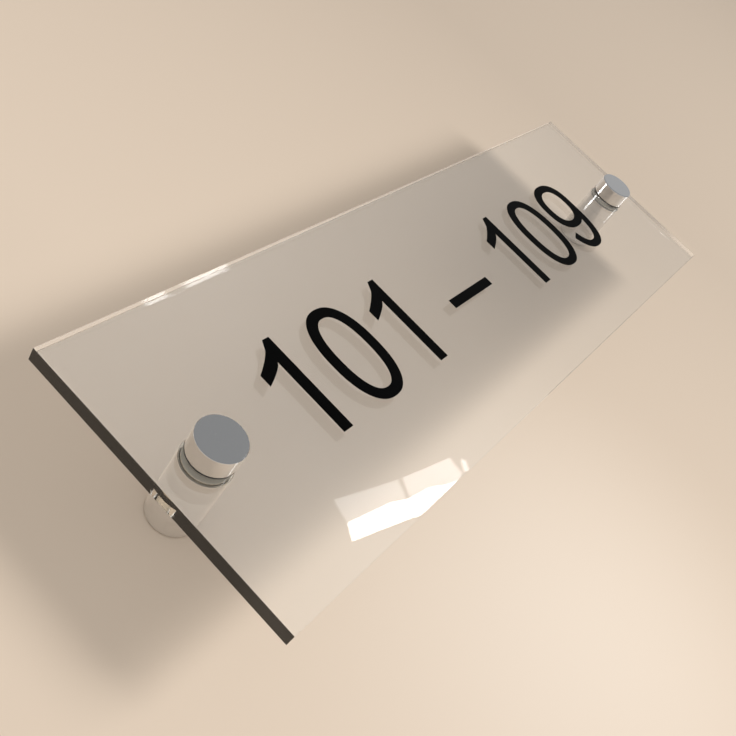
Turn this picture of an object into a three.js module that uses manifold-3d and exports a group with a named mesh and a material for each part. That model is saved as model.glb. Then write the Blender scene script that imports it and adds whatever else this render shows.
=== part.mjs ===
// Wall name plate: a clear acrylic panel held off the wall by two turned metal standoffs.
//
// Millimetres, +Z up, +X along the panel in its reading direction. The front faces -Y and the wall's
// surface is the plane y = 0, with the origin on it, midway between the standoffs. Along a standoff's
// axis a place is given as its distance out from the wall, so y = -out, and what is in the wall has a
// distance below zero.

import * as THREE from 'three';
import { mergeVertices } from 'three/addons/utils/BufferGeometryUtils.js';
import Module from 'manifold-3d';

const manifold = await Module();
manifold.setup();

// Panel
const PANEL_LENGTH = 400;
const PANEL_HEIGHT = 120;
const PANEL_THICKNESS = 6;
const PANEL_EDGE_BEVEL = 0.3;
const STANDOFF_INSET = 23.5; // from a short edge of the panel to the standoff's axis

// Cap, the head that screws on from the front
const CAP_DIAMETER = 19;
const CAP_HEIGHT = 8.5;
const CAP_CHAMFER = 0.35;
const CAP_FOOT_CHAMFER = 0.2;
const CAP_CROWN = 3.3; // metal between the stud's end and the cap's front

// Barrel, the spacer that stands on the wall
const BARREL_DIAMETER = 20;
const BARREL_LENGTH = 30;
const BARREL_CHAMFER = 0.4;
const BARREL_SEAT_WALL = 1.2; // metal left under the countersunk seat
const BARREL_RELIEF_DEPTH = 0.4; // shallow recess in the base, so that only its rim beds on the wall
const BARREL_RELIEF_CLEARANCE = 0.6; // between the recess's side and the wall plug's fins

// Threaded stud, fixed in the cap. Its thread has a pitch of 1.5 mm.
const STUD_DIAMETER = 10;
const STUD_ENGAGEMENT = 9; // length of thread inside the barrel
const STUD_CHAMFER = 0.9;
const STUD_DRIVE_WIDTH = 4; // hexagon socket, across flats
const STUD_DRIVE_DEPTH = 4;
const THREAD_CLEARANCE = 0.15;

// Washers on both faces of the panel, and the sleeve in its hole
const FRONT_WASHER_THICKNESS = 0.5;
const FRONT_WASHER_SETBACK = 0.8; // from the cap's side to the washer's rim
const REAR_WASHER_THICKNESS = 0.5;
const REAR_WASHER_SETBACK = 0.9; // from the barrel's side to the washer's rim
const WASHER_BORE_CLEARANCE = 0.3;
const SLEEVE_WALL = 0.7;
const SLEEVE_BORE_CLEARANCE = 0.2;
const SLEEVE_HOLE_CLEARANCE = 0.1;
const SLEEVE_END_GAP = 0.1;

// Countersunk wood screw. Its head drops down the barrel's bore.
const SCREW_LENGTH = 40;
const SCREW_DIAMETER = 4;
const SCREW_CORE_DIAMETER = 2.8;
const SCREW_SHANK_LENGTH = 12;
const SCREW_NECK_LENGTH = 1;
const SCREW_POINT_LENGTH = 5;
const SCREW_HEAD_LAND = 0.35;
const SCREW_HEAD_CLEARANCE = 1.15; // between the head's rim and the barrel's bore
const SCREW_HOLE_CLEARANCE = 0.25;
const SCREW_SEAT_GAP = 0.12;

// Nylon wall plug, ribbed and split so that the screw spreads it
const PLUG_LENGTH = 30;
const PLUG_WALL = 0.9;
const PLUG_BORE_CLEARANCE = 0.15;
const PLUG_SETBACK = 0.3; // below the wall's surface
const PLUG_MOUTH_LENGTH = 6; // plain stretch before the ribs
const PLUG_TIP_LENGTH = 2.5;
const PLUG_TIP_TAPER = 0.45;
const PLUG_RIBS = 7;
const PLUG_RIB_HEIGHT = 0.35;
const PLUG_SLOT_WIDTH = 0.8;
const PLUG_SLOT_LENGTH = 20;
const PLUG_FIN_LENGTH = 9;
const PLUG_FIN_WIDTH = 0.8;
const PLUG_FIN_HEIGHT = 0.7;

// Facets round the axis of a turned piece
const BODY_SIDES = 48;
const INNER_SIDES = 32;
const PLUG_SIDES = 24;

// Places along the standoff's axis, out from the wall
const panelBack = BARREL_LENGTH + REAR_WASHER_THICKNESS;
const panelFront = panelBack + PANEL_THICKNESS;
const capFoot = panelFront + FRONT_WASHER_THICKNESS;
const capFront = capFoot + CAP_HEIGHT;
const studFront = capFront - CAP_CROWN;
const studBack = BARREL_LENGTH - STUD_ENGAGEMENT;

// Each standoff's axis, sideways from the panel's middle
const standoffPlace = PANEL_LENGTH / 2 - STANDOFF_INSET;

// Radii that follow from the pieces they go round or lie on
const studRadius = STUD_DIAMETER / 2;
const frontWasherRadius = CAP_DIAMETER / 2 - FRONT_WASHER_SETBACK;
const rearWasherRadius = BARREL_DIAMETER / 2 - REAR_WASHER_SETBACK;
const threadedBore = studRadius + THREAD_CLEARANCE;
const washerBore = studRadius + WASHER_BORE_CLEARANCE;
const sleeveBore = studRadius + SLEEVE_BORE_CLEARANCE;
const sleeveRadius = sleeveBore + SLEEVE_WALL;
const panelHole = sleeveRadius + SLEEVE_HOLE_CLEARANCE;
const screwRadius = SCREW_DIAMETER / 2;
const screwHole = screwRadius + SCREW_HOLE_CLEARANCE;
const screwHead = threadedBore - SCREW_HEAD_CLEARANCE;
const plugBore = screwRadius + PLUG_BORE_CLEARANCE;
const plugRadius = plugBore + PLUG_WALL;
const baseRelief = plugRadius + PLUG_FIN_HEIGHT + BARREL_RELIEF_CLEARANCE;

// The seat is a 90 degree cone, so its depth is the difference of its two radii.
const seatRim = screwHead + SCREW_SEAT_GAP;
const seatBottom = BARREL_RELIEF_DEPTH + BARREL_SEAT_WALL;
const seatTop = seatBottom + seatRim - screwHole;
const barrelFloor = seatTop + SCREW_HEAD_LAND;

const material = (color, roughness, metalness, opacity = 1) => new THREE.MeshStandardMaterial({
  color,
  roughness,
  metalness,
  opacity,
  transparent: opacity < 1,
});

const FINISH = {
  acrylic: material(0xd9d6cc, 0.03, 0, 0.3),
  chrome: material(0xd2d4d6, 0.06, 1),
  steel: material(0xb4b6b8, 0.3, 1),
  rubber: material(0x1a1a1b, 0.7, 0),
  clearNylon: material(0xe4e4e0, 0.2, 0, 0.5),
  greyNylon: material(0x9a9c9e, 0.5, 0),
};

const mesh = (name, geometry, finish) => {
  const piece = new THREE.Mesh(geometry, finish);
  piece.name = name;
  return piece;
};

// A profile turned about the standoff's axis. Its points are [radius, out], listed from the front to
// the wall along the outside and back along the inside, and a bored one closes on its first point.
const turned = (points, sides) => new THREE.LatheGeometry(
  points.map(([radius, out]) => new THREE.Vector2(radius, -out)),
  sides,
);

const bored = (points, sides) => turned([...points, points[0]], sides);

// A closed mesh as a solid that can be cut and joined
const toSolid = (geometry) => {
  const bare = geometry.clone();
  bare.deleteAttribute('normal');
  bare.deleteAttribute('uv');
  const merged = mergeVertices(bare, 1e-4);
  const corners = Array.from(merged.index.array);
  const whole = [];
  for (let i = 0; i < corners.length; i += 3) {
    const [a, b, c] = corners.slice(i, i + 3);
    if (a !== b && b !== c && c !== a) whole.push(a, b, c);
  }
  return new manifold.Manifold(new manifold.Mesh({
    numProp: 3,
    vertProperties: new Float32Array(merged.attributes.position.array),
    triVerts: new Uint32Array(whole),
  }));
};

const toGeometry = (solid) => {
  const { vertProperties, triVerts } = solid.getMesh();
  const geometry = new THREE.BufferGeometry();
  geometry.setAttribute('position', new THREE.BufferAttribute(vertProperties, 3));
  geometry.setIndex(new THREE.BufferAttribute(triVerts, 1));
  return geometry;
};

// The panel: a sheet with polished, lightly bevelled edges and a hole for each stud
const panelGeometry = () => {
  const half = { x: PANEL_LENGTH / 2 - PANEL_EDGE_BEVEL, z: PANEL_HEIGHT / 2 - PANEL_EDGE_BEVEL };
  const outline = new THREE.Shape();
  outline.moveTo(-half.x, -half.z);
  outline.lineTo(half.x, -half.z);
  outline.lineTo(half.x, half.z);
  outline.lineTo(-half.x, half.z);
  outline.closePath();
  for (const side of [-1, 1]) {
    const hole = new THREE.Path();
    hole.absarc(side * standoffPlace, 0, panelHole + PANEL_EDGE_BEVEL, 0, 2 * Math.PI, true);
    outline.holes.push(hole);
  }
  const sheet = new THREE.ExtrudeGeometry(outline, {
    depth: PANEL_THICKNESS - 2 * PANEL_EDGE_BEVEL,
    bevelEnabled: true,
    bevelThickness: PANEL_EDGE_BEVEL,
    bevelSize: PANEL_EDGE_BEVEL,
    bevelSegments: 1,
    curveSegments: INNER_SIDES / 2,
  });
  sheet.rotateX(Math.PI / 2);
  sheet.translate(0, -panelBack - PANEL_EDGE_BEVEL, 0);
  return sheet;
};

// The cap: a flat-topped button with a blind threaded socket for the stud
const capGeometry = () => turned([
  [0, capFront],
  [CAP_DIAMETER / 2 - CAP_CHAMFER, capFront],
  [CAP_DIAMETER / 2, capFront - CAP_CHAMFER],
  [CAP_DIAMETER / 2, capFoot + CAP_FOOT_CHAMFER],
  [CAP_DIAMETER / 2 - CAP_FOOT_CHAMFER, capFoot],
  [threadedBore, capFoot],
  [threadedBore, studFront],
  [0, studFront],
], BODY_SIDES);

// The barrel: a bored spacer whose floor takes the wall screw in a countersunk seat, and whose base is
// relieved round the screw
const barrelGeometry = () => bored([
  [threadedBore, BARREL_LENGTH],
  [BARREL_DIAMETER / 2 - BARREL_CHAMFER, BARREL_LENGTH],
  [BARREL_DIAMETER / 2, BARREL_LENGTH - BARREL_CHAMFER],
  [BARREL_DIAMETER / 2, BARREL_CHAMFER],
  [BARREL_DIAMETER / 2 - BARREL_CHAMFER, 0],
  [baseRelief, 0],
  [baseRelief, BARREL_RELIEF_DEPTH],
  [screwHole, BARREL_RELIEF_DEPTH],
  [screwHole, seatBottom],
  [seatRim, seatTop],
  [seatRim, barrelFloor],
  [threadedBore, barrelFloor],
], BODY_SIDES);

// The stud: a threaded rod with chamfered ends and a hexagon socket in the end that faces the wall
const studGeometry = () => {
  const rod = toSolid(turned([
    [0, studFront],
    [studRadius - STUD_CHAMFER, studFront],
    [studRadius, studFront - STUD_CHAMFER],
    [studRadius, studBack + STUD_CHAMFER],
    [studRadius - STUD_CHAMFER, studBack],
    [0, studBack],
  ], INNER_SIDES));
  const key = new THREE.CylinderGeometry(
    STUD_DRIVE_WIDTH / Math.sqrt(3),
    STUD_DRIVE_WIDTH / Math.sqrt(3),
    2 * STUD_DRIVE_DEPTH,
    6,
  );
  key.translate(0, -studBack, 0);
  return toGeometry(rod.subtract(toSolid(key)));
};

const washerGeometry = (radius, front, thickness) => bored([
  [washerBore, front],
  [radius, front],
  [radius, front - thickness],
  [washerBore, front - thickness],
], INNER_SIDES);

const sleeveGeometry = () => bored([
  [sleeveBore, panelFront - SLEEVE_END_GAP],
  [sleeveRadius, panelFront - SLEEVE_END_GAP],
  [sleeveRadius, panelBack + SLEEVE_END_GAP],
  [sleeveBore, panelBack + SLEEVE_END_GAP],
], INNER_SIDES);

// The screw: a flat countersunk head, a plain shank, a neck, a stretch at the thread's outer
// diameter and a point
const screwGeometry = () => {
  const top = barrelFloor;
  const cone = top - SCREW_HEAD_LAND - (screwHead - screwRadius);
  const neck = cone - SCREW_SHANK_LENGTH;
  const tip = top - SCREW_LENGTH;
  const core = SCREW_CORE_DIAMETER / 2;
  return turned([
    [0, top],
    [screwHead, top],
    [screwHead, top - SCREW_HEAD_LAND],
    [screwRadius, cone],
    [screwRadius, neck],
    [core, neck - SCREW_NECK_LENGTH / 2],
    [core, neck - SCREW_NECK_LENGTH],
    [screwRadius, neck - 1.5 * SCREW_NECK_LENGTH],
    [screwRadius, tip + SCREW_POINT_LENGTH],
    [0, tip],
  ], PLUG_SIDES);
};

// The wall plug: a ribbed tube with a tapered tip, split crosswise from the tip, with two fins that
// stop it turning
const plugGeometry = () => {
  const mouth = -PLUG_SETBACK;
  const end = mouth - PLUG_LENGTH;
  const ribsStart = mouth - PLUG_MOUTH_LENGTH;
  const ribsEnd = end + PLUG_TIP_LENGTH;
  const ribPitch = (ribsStart - ribsEnd) / PLUG_RIBS;
  const teeth = [];
  for (let i = 0; i < PLUG_RIBS; i += 1) {
    const crest = ribsStart - i * ribPitch;
    teeth.push([plugRadius, crest], [plugRadius - PLUG_RIB_HEIGHT, crest - 0.2 * ribPitch]);
  }
  const tube = toSolid(bored([
    [plugBore, mouth],
    [plugRadius, mouth],
    ...teeth,
    [plugRadius, ribsEnd],
    [plugRadius - PLUG_TIP_TAPER, end],
    [plugBore, end],
  ], PLUG_SIDES));
  const finSpan = 2 * (plugRadius + PLUG_FIN_HEIGHT);
  const fins = new THREE.BoxGeometry(finSpan, PLUG_FIN_LENGTH, PLUG_FIN_WIDTH);
  fins.translate(0, -ribsStart + PLUG_FIN_LENGTH / 2, 0);
  const bore = new THREE.CylinderGeometry(plugBore, plugBore, 3 * PLUG_LENGTH, PLUG_SIDES);
  let plug = tube.add(toSolid(fins).subtract(toSolid(bore)));
  for (const turn of [Math.PI / 4, -Math.PI / 4]) {
    const slot = new THREE.BoxGeometry(PLUG_SLOT_WIDTH, 2 * PLUG_SLOT_LENGTH, 4 * plugRadius);
    slot.rotateY(turn);
    slot.translate(0, -end, 0);
    plug = plug.subtract(toSolid(slot));
  }
  return toGeometry(plug);
};

// One standoff with its fixings, from the wall plug to the cap
const standoff = (side, x) => {
  const group = new THREE.Group();
  group.add(
    mesh(`${side}_barrel`, barrelGeometry(), FINISH.chrome),
    mesh(`${side}_wall_screw`, screwGeometry(), FINISH.steel),
    mesh(`${side}_wall_plug`, plugGeometry(), FINISH.greyNylon),
    mesh(
      `${side}_rear_washer`,
      washerGeometry(rearWasherRadius, panelBack, REAR_WASHER_THICKNESS),
      FINISH.clearNylon,
    ),
    mesh(`${side}_hole_sleeve`, sleeveGeometry(), FINISH.clearNylon),
    mesh(
      `${side}_front_washer`,
      washerGeometry(frontWasherRadius, capFoot, FRONT_WASHER_THICKNESS),
      FINISH.rubber,
    ),
    mesh(`${side}_stud`, studGeometry(), FINISH.steel),
    mesh(`${side}_cap`, capGeometry(), FINISH.chrome),
  );
  group.position.x = x;
  return group;
};

const namePlate = new THREE.Group();
namePlate.add(
  mesh('panel', panelGeometry(), FINISH.acrylic),
  standoff('left', -standoffPlace),
  standoff('right', standoffPlace),
);

export default namePlate;
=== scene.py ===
"""Looks of the wall name plate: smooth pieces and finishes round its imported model, in metres.

The wall's surface is the plane y = 0, and the panel stands off it and faces -Y. Each standoff's axis is
parallel to Y, and a place along it is given as its distance out from the wall, so y = -out. What is in
the wall has a distance below zero.
"""

import math

import bpy
import numpy as np
from bpy.props import FloatProperty, FloatVectorProperty, PointerProperty
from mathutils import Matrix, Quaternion, Vector


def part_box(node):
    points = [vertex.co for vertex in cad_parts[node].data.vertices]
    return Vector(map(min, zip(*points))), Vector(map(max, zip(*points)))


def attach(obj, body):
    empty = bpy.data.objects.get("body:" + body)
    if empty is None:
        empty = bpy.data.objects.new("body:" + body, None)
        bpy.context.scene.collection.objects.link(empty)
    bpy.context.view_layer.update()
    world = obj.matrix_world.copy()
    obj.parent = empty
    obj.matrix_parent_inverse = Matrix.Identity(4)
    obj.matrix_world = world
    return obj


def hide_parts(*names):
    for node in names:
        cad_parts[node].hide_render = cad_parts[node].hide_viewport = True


bl_info = {
    "name": "Wall Name Plate",
    "version": (1, 0, 0),
    "blender": (4, 5, 0),
    "location": "3D View > Sidebar > Name Plate",
    "description": "Builds the visible pieces of a clear wall name plate round its packed model",
    "category": "Add Mesh",
}

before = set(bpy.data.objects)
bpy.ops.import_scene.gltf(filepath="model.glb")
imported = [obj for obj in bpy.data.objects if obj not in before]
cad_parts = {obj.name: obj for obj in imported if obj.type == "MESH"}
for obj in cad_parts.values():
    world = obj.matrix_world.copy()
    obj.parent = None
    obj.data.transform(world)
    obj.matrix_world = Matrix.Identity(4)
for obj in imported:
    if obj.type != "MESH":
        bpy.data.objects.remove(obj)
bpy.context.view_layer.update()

MM = 0.001
SIDES = ("left", "right")
PANEL_BODY = "mounted_panel"

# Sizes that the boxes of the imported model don't give
THREADED_BORE = 5.15 * MM
WASHER_BORE = 5.3 * MM
SLEEVE_BORE = 5.2 * MM
PANEL_HOLE = 6 * MM
CAP_CHAMFER = 0.35 * MM
CAP_FOOT_CHAMFER = 0.2 * MM
BARREL_CHAMFER = 0.4 * MM
BARREL_RELIEF = 4.35 * MM
BARREL_RELIEF_DEPTH = 0.4 * MM
SEAT_HOLE = 2.25 * MM
SEAT_RIM = 4.12 * MM
SEAT_BOTTOM = 1.6 * MM
SCREW_HEAD_LAND = 0.35 * MM
STUD_CHAMFER = 0.9 * MM
STUD_ROOT = 4.08 * MM
STUD_DRIVE = 4 * MM  # across the flats of its hexagon socket, and as deep
STUD_FLATS = (0.15, 0.12)  # of the thread's root and crest, as shares of its height

# Wood screw
SCREW_SHANK = 2 * MM
SCREW_SHANK_LENGTH = 12 * MM
SCREW_CORE = 1.35 * MM
SCREW_POINT = 5 * MM
SCREW_THREAD_RUN = 1.2 * MM  # over which the thread rises from the shank
SCREW_FLATS = (0.5, 0.04)
SCREW_TOP_ROWS = 28
SCREW_TOP_SHARE = 0.93  # of the head's radius, where these rows end
RECESS_REACH = 2.1 * MM
RECESS_WIDTH = 0.85 * MM
RECESS_DEPTH = 1.9 * MM
RECESS_EDGE = 0.1 * MM  # over which its sides fall
RECESS_SLOPE = 1.2 * MM  # over which its ends rise

# Wall plug
PLUG_BORE = 2.15 * MM
PLUG_RADIUS = 3.05 * MM
PLUG_MOUTH = 6 * MM
PLUG_TIP = 2.5 * MM
PLUG_TIP_TAPER = 0.45 * MM
PLUG_RIBS = 7
PLUG_RIB_HEIGHT = 0.35 * MM
PLUG_RIB_FALL = 0.2  # share of a rib's length over which it falls
PLUG_EASE = 0.12 * MM  # small slopes at its ends
PLUG_STEP = 0.01 * MM  # height of a fin's end
PLUG_ROWS = 60
PLUG_LEG_POINTS = 9  # round a leg on either side of its fin
PLUG_FIN_POINTS = 5  # round a fin's top
PLUG_SLOT_WIDTH = 0.8 * MM
PLUG_SLOT_LENGTH = 20 * MM
PLUG_FIN_LENGTH = 9 * MM
PLUG_FIN_WIDTH = 0.8 * MM
PLUG_FIN_HEIGHT = 0.7 * MM

# How finely surfaces are drawn
ANGLES_ROUND = 144
ROUND = np.linspace(0, 2 * np.pi, ANGLES_ROUND, endpoint=False)
THREAD_ROWS = 16  # rows in one turn of a thread
EASING = 0.07 * MM  # reach of the small round on a turned corner
EASING_POINTS = 5
HOLD = 1.5  # how much further out than the round the flat beside it is held
WELD = 1e-8
SHARP_ANGLE = math.radians(40)
NODES_APART = 220  # in the node editor
NODES_IN_A_ROW = 8

# Numerals, as shares of their height
NUMERALS = "101-109"
ADVANCE = 0.777
SPACE = 0.388
STEM = 0.124
BAR = 0.105
OVERSHOOT = 0.012
CURVE_POWER = 2.35
CURVE_STEPS = 96

# Seats of the film and the rings
FILM_GAP = 0.01 * MM
FILM_THICKNESS = 0.09 * MM
RING_GAP = 0.004 * MM  # between a ring's front end and what it touches
RUBBER_BULGE = 0.8 * MM  # how far the squeezed front washers swell past their free radius
FACES_PARTED = 33 * MM  # from the wall, between the barrels' front faces and the caps' feet

# Stage, in metres where nothing else is said
WALL_REACH = 4  # from the middle of the wall to its edges
PAINTED_POOL_PLACE = (-0.07, -0.145)  # middle of the pool of light painted on the wall, across and up
PAINTED_POOL_RADIUS = 0.17
WALL_PAINTED_SHADES = ((-0.12, 0.3), (1.08, 0.79))  # two places across the wall, and how light it is there: painted shade, darker to the right
METAL_SHADES = (0.63, 0.91, 1.0, 1.22)  # range of a ray's sideways part, and of the room's lightness there
SHEET_SHADES = ((0.69, 0.91, 1.6, 0.53), (0.0, 0.5, 0.45, 1.6))  # the same, and the darker of the two holds
GLASS_BOUNCES = 16  # few enough for the sheet's short edges to stay dark
WINDOW_PANES = (  # share of the full strength, and corners in mm
    (1.0, ((-180, 68), (-201, 28), (-77, -23), (-75, 33))),
    (1.0, ((-75, 33), (-77, -23), (-37, -42), (-39, 10))),
    (1.0, ((-39, 10), (-37, -42), (14, -44), (14, -4))),
    (1.0, ((14, -4), (14, -44), (80, -42), (52, -30))),
    (0.33, ((-167, 130), (-180, 68), (-75, 33), (-27, 60))),
    (0.33, ((-27, 60), (-75, 33), (-40, 12), (-23, 58))),
    (0.38, ((-13, 55), (-31, 9), (14, -4), (29, 38))),
    (0.38, ((29, 38), (14, -4), (52, -30), (102, 11))),
    (0.38, ((102, 11), (52, -30), (80, -41), (97, -37))),
    (0.47, ((117, -10), (104, -36), (113, -45), (125, -20))),
)
LOW_WINDOW_PANES = tuple(
    (1.0, ((left, low), (right, low), (right, high), (left, high)))
    for left, right in ((-130, -92), (-59, 20))
    for low, high in ((-160, -70), (-19, 71))
)
SIDE_WINDOW_PANES = ((0.8, ((-344, 39), (419, -78), (419, 42), (-344, 159))),)
HIGH_WINDOW_PANES = ((1.2, ((-110, -80), (110, -80), (110, 80), (-110, 80))),)
PANE_VALUES = ("share", "mirrorings")  # kept with each pane


def colour_setting(name, description, default):
    """A colour that a user can change."""
    return FloatVectorProperty(
        name=name, description=description, default=default, subtype="COLOR", min=0, max=1
    )


def place_setting(name, description, default):
    """A point in space that a user can change."""
    return FloatVectorProperty(
        name=name, description=description, default=default, subtype="TRANSLATION", unit="LENGTH"
    )


def number_setting(name, description, default, least=0.0, unit="NONE"):
    """A number that a user can change, and its least value."""
    return FloatProperty(name=name, description=description, default=default, min=least, unit=unit)


def length_setting(name, description, default, least=-WALL_REACH):
    """A length that a user can change, and its least value."""
    return number_setting(name, description, default, least, "LENGTH")


class PlateSizes(bpy.types.PropertyGroup):
    """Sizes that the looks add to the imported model"""

    panel_bevel: length_setting(
        "Panel bevel", "Width of the polished bevel along the panel's edges", 0.12 * MM, least=0.05 * MM
    )
    stud_pitch: length_setting("Stud pitch", "Pitch of the studs' thread", 1.5 * MM, least=0.5 * MM)
    screw_pitch: length_setting("Screw pitch", "Pitch of the wood screws' thread", 1.8 * MM, least=0.5 * MM)
    numeral_height: length_setting(
        "Numeral height", "Height of the numerals on the panel", 45.5 * MM, least=5 * MM
    )
    numeral_baseline: length_setting(
        "Numeral baseline",
        "Height of the line that the numerals stand on, from the panel's middle",
        -19.9 * MM,
    )


class PlateFinishes(bpy.types.PropertyGroup):
    """Colours of the finishes"""

    acrylic: colour_setting("Acrylic", "Tint of the clear acrylic panel", (1.0, 1.0, 0.99))
    acrylic_deep: colour_setting(
        "Acrylic depth tint", "Tint of light that travels a long way inside the sheet", (0.35, 0.30, 0.22)
    )
    acrylic_density: number_setting(
        "Acrylic density", "How strongly the depth tint takes light away, per metre", 11.0
    )
    lamp_pass: colour_setting(
        "Lamp light passed",
        "Share of a lamp's light that the clear pieces let through to the wall",
        (0.09, 0.09, 0.09),
    )
    soft_pass: colour_setting(
        "Soft light passed",
        "Share of the soft light that the clear pieces let through to the wall",
        (1.0, 1.0, 1.0),
    )
    chrome: colour_setting(
        "Chrome", "Colour of the polished sides of the caps and barrels", (0.58, 0.585, 0.59)
    )
    # Painted reflection: the caps' end faces get a dark colour that stands in for the dim room they mirror
    faced: colour_setting("Faced ends", "Colour of the faced ends of the caps", (0.235, 0.24, 0.245))
    # Painted reflection: the barrels' end faces get a warm colour that stands in for the wall they mirror
    barrel_end_painted_reflection: colour_setting(
        "Barrel ends",
        "Colour of the faced ends of the barrels, warmed by the wall round them",
        (0.305, 0.28, 0.235),
    )
    zinc: colour_setting("Zinc plate", "Colour of the studs and screws", (0.62, 0.63, 0.64))
    rubber: colour_setting("Rubber", "Colour of the front washers", (0.02, 0.02, 0.02))
    clear_nylon: colour_setting(
        "Clear nylon", "Tint of the rear washers and hole sleeves", (1.0, 0.9, 0.74)
    )
    grey_nylon: colour_setting("Grey nylon", "Colour of the wall plugs", (0.33, 0.34, 0.35))
    vinyl: colour_setting("Vinyl", "Colour of the numerals", (0.0015, 0.0015, 0.0015))


class PlateStage(bpy.types.PropertyGroup):
    """Wall, light and camera"""

    wall: colour_setting("Wall", "Colour of the wall", (0.72, 0.59, 0.465))
    # Painted light: the colour of the pool of light painted on the wall below the plate
    wall_painted_pool: colour_setting("Wall pool", "Colour of the wall's palest part", (0.86, 0.73, 0.60))
    room: colour_setting("Room", "Soft light of the room on surfaces", (0.61, 0.61, 0.61))
    mirrored: colour_setting(
        "Mirrored room", "What polished surfaces mirror of the room", (0.95, 0.94, 0.93)
    )
    backdrop: colour_setting("Backdrop", "What the camera sees past the wall", (0.80, 0.79, 0.77))
    key_place: place_setting("Key place", "Where the key lamp stands", (0.938, -1.162, -0.868))
    key_aim: place_setting("Key aim", "The point that the key lamp faces", (-3.0, -1.0, 1.5))
    key_size: length_setting("Key size", "Width of the key lamp", 0.63, least=0.01)
    key_power: number_setting("Key power", "Power of the key lamp", 25.0, unit="POWER")
    window_place: place_setting(
        "Window place", "Middle of the bright window that the panel mirrors", (1.344, -1.390, 0.0)
    )
    low_window_place: place_setting(
        "Low window place",
        "Middle of the lower window, which shows in the panel's edges",
        (0.87, -0.94, -0.31),
    )
    side_window_place: place_setting(
        "Side window place",
        "Middle of the window that leaves streaks on the right of the caps",
        (0.62, -0.70, -0.62),
    )
    high_window_place: place_setting(
        "High window place",
        "Middle of the window that leaves a streak on the upper side of the right cap",
        (-0.316, -0.477, 0.870),
    )
    window_strength: number_setting("Window strength", "Brightness of the mirrored windows", 10)
    camera_place: place_setting("Camera place", "Where the camera stands", (-0.37609, -0.27679, -0.06325))
    camera_aim: place_setting(
        "Camera aim",
        "The point on the panel's front that the camera looks at",
        (-0.09119, -0.0365, -0.00526),
    )
    camera_roll: FloatProperty(
        name="Camera roll",
        description="Turn of the camera about its line of sight",
        default=math.radians(-44.29),
        subtype="ANGLE",
    )
    camera_lens: number_setting(
        "Camera lens", "Focal length on a sensor 36 mm wide", 47.949, least=1, unit="CAMERA"
    )


def turned_span(node):
    """A turned node's axis sideways, its radius, and its wall and front ends out from the wall."""
    low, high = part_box(node)
    return (low.x + high.x) / 2, (high.z - low.z) / 2, -high.y, -low.y


AXIS_PLACE = turned_span("right_barrel")[0]


def grid_quads(rows, columns, around=True, closed=False):
    """Faces between the neighbours of a grid whose points are numbered row by row. around joins the last
    column to the first, and closed the last row to the first."""
    i, j = np.meshgrid(
        np.arange(rows if closed else rows - 1),
        np.arange(columns if around else columns - 1),
        indexing="ij",
    )
    below, beside = (i + 1) % rows, (j + 1) % columns
    corners = [i * columns + j, below * columns + j, below * columns + beside, i * columns + beside]
    return np.stack(corners, -1).reshape(-1, 4)


def merged(points):
    """Which points to keep so that each place has one, and each old point's number among those kept."""
    places = np.round(points / WELD).astype(np.int64)
    _, first, numbers = np.unique(places, axis=0, return_index=True, return_inverse=True)
    return first, numbers.ravel()


def wrapped(axis, radius, out, closed=False, angles=ROUND):
    """A surface round a standoff's axis. At row i and angle t its point is (axis + radius cos t, -out,
    radius sin t), where radius and out are grids of rows by angles, or one column that serves all
    angles. Rows run from the front to the wall along the outside, so that faces point outwards."""
    radius, out, angles = np.broadcast_arrays(radius, out, angles)
    points = np.stack([axis + radius * np.cos(angles), -out, radius * np.sin(angles)], -1)
    return points.reshape(-1, 3), grid_quads(*radius.shape, closed=closed)


def eased(corners, closed=False):
    """A profile with small rounds. A corner C becomes C + EASING ((1 - t)^2 a + t^2 b) for t from 0 to 1,
    where a and b are the directions to the corners before and after it. Points a little further along
    a and b hold the flats beside the round. An open profile keeps its two ends."""
    corners = np.asarray(corners, float)
    before = np.roll(corners, 1, 0) - corners
    after = np.roll(corners, -1, 0) - corners
    before /= np.linalg.norm(before, axis=1, keepdims=True)
    after /= np.linalg.norm(after, axis=1, keepdims=True)
    t = np.linspace(0, 1, EASING_POINTS)
    towards = np.concatenate([[HOLD], (1 - t) ** 2, [0]])[:, None]
    onwards = np.concatenate([[0], t**2, [HOLD]])[:, None]
    arcs = corners[:, None] + EASING * (towards * before[:, None] + onwards * after[:, None])
    if closed:
        return arcs.reshape(-1, 2)
    return np.concatenate([corners[:1], arcs[1:-1].reshape(-1, 2), corners[-1:]])


def turned(axis, corners, closed=False):
    """A plain turned surface from a profile of [radius, out] corners."""
    profile = eased(corners, closed)
    return wrapped(axis, profile[:, :1], profile[:, 1:], closed)


def raised(levels, quads):
    """A flat shape given thickness. levels lists (flat points, y) from the front to the back, with the
    same points at each level. The first level is the front face, the last the back face, and a band of
    faces joins the levels along each edge that only one face has."""
    count = len(levels[0][0])
    points = np.concatenate([np.insert(flat, 1, y, axis=1) for flat, y in levels])
    starts, ends = quads.ravel(), np.roll(quads, -1, 1).ravel()
    sides = (starts != ends) & ~np.isin(starts * count + ends, ends * count + starts)
    a, b = starts[sides], ends[sides]
    band = np.stack([a, a + count, b + count, b], -1)
    bands = [band + level * count for level in range(len(levels) - 1)]
    back = quads[:, ::-1] + (len(levels) - 1) * count
    return points, np.concatenate([quads, *bands, back])


def facing_front(flat, quads):
    """Flat faces, in x and z, turned so that all of them face -Y."""
    corners = flat[quads]
    across = corners[:, 2] - corners[:, 0]
    other = corners[:, 3] - corners[:, 1]
    area = across[:, 0] * other[:, 1] - across[:, 1] * other[:, 0]
    return np.where(area[:, None] < 0, quads[:, ::-1], quads)


def added(name, data):
    """A new object in the scene."""
    made = bpy.data.objects.new(name, data)
    bpy.context.scene.collection.objects.link(made)
    return made


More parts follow.
